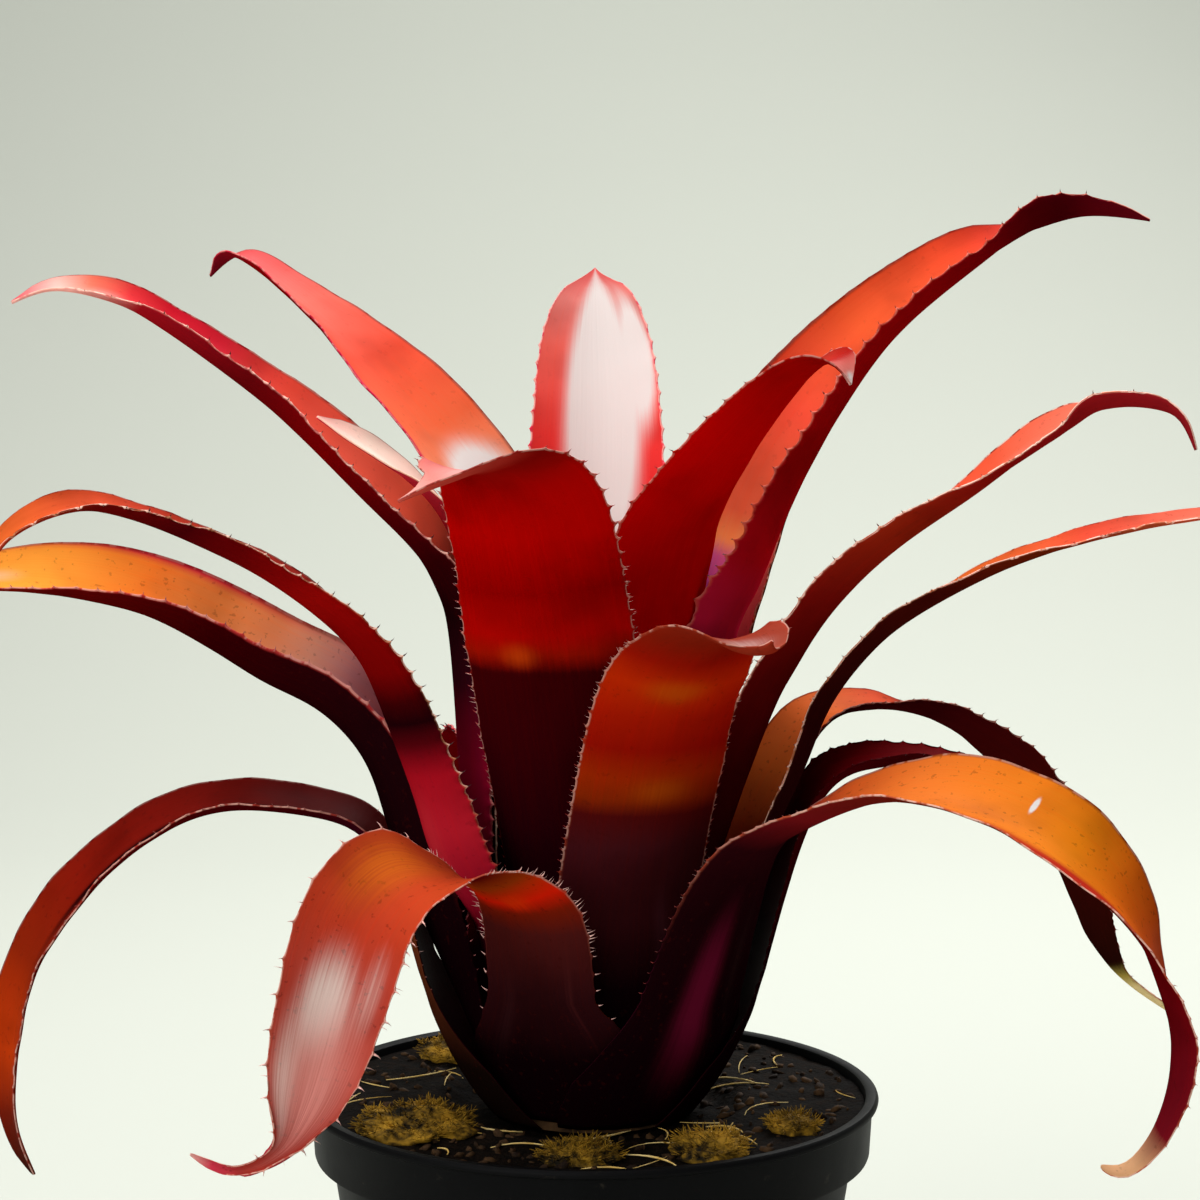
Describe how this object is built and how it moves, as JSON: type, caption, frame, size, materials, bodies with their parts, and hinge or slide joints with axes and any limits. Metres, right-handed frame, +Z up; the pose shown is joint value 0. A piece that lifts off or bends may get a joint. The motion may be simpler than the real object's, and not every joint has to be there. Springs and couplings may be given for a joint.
{
  "type": "potted bromeliad",
  "caption": "Bromeliad house plant: a funnel of red strap leaves with toothed edges, arching out of moss and soil in a round black nursery pot.",
  "frame": {"origin": "centre of the underside of the pot", "axes": "+Z up along the pot's axis; -Y is the front, the side that the two short folded leaves face; +X is the plant's right as seen from the front"},
  "size_m": [0.4703, 0.32, 0.4515],
  "materials": {
    "leaf": "leathery leaf with a soft gloss, red to orange above and maroon below",
    "pot": "satin moulded plastic, black",
    "soil": "loose damp bark and peat mix, nearly black",
    "stem": "rough brown stem and root",
    "moss": "soft yellow-green moss"
  },
  "bodies": {
    "root": {"pot": "pot", "soil": "soil", "stem": "stem", "leaf_left_drooping": "leaf", "leaf_right_low": "leaf", "leaf_right_drooping": "leaf", "leaf_back_low_left": "leaf", "leaf_front_drooping": "leaf", "leaf_back_low_right": "leaf", "leaf_left_middle": "leaf", "leaf_right_dry_tip": "leaf", "leaf_right_thin": "leaf", "leaf_back_short_left": "leaf", "leaf_front_short": "leaf", "leaf_back_arched": "leaf", "leaf_left_upper": "leaf", "leaf_right_arched": "leaf", "leaf_left_long": "leaf", "leaf_right_behind": "leaf", "leaf_left_short": "leaf", "leaf_right_long": "leaf", "leaf_back_left": "leaf", "leaf_front_tall": "leaf", "leaf_back_upright": "leaf", "leaf_right_broad": "leaf", "leaf_heart": "leaf", "moss_left": "moss", "moss_front": "moss", "moss_right": "moss", "moss_side": "moss", "moss_back": "moss"}
  },
  "joints": []
}
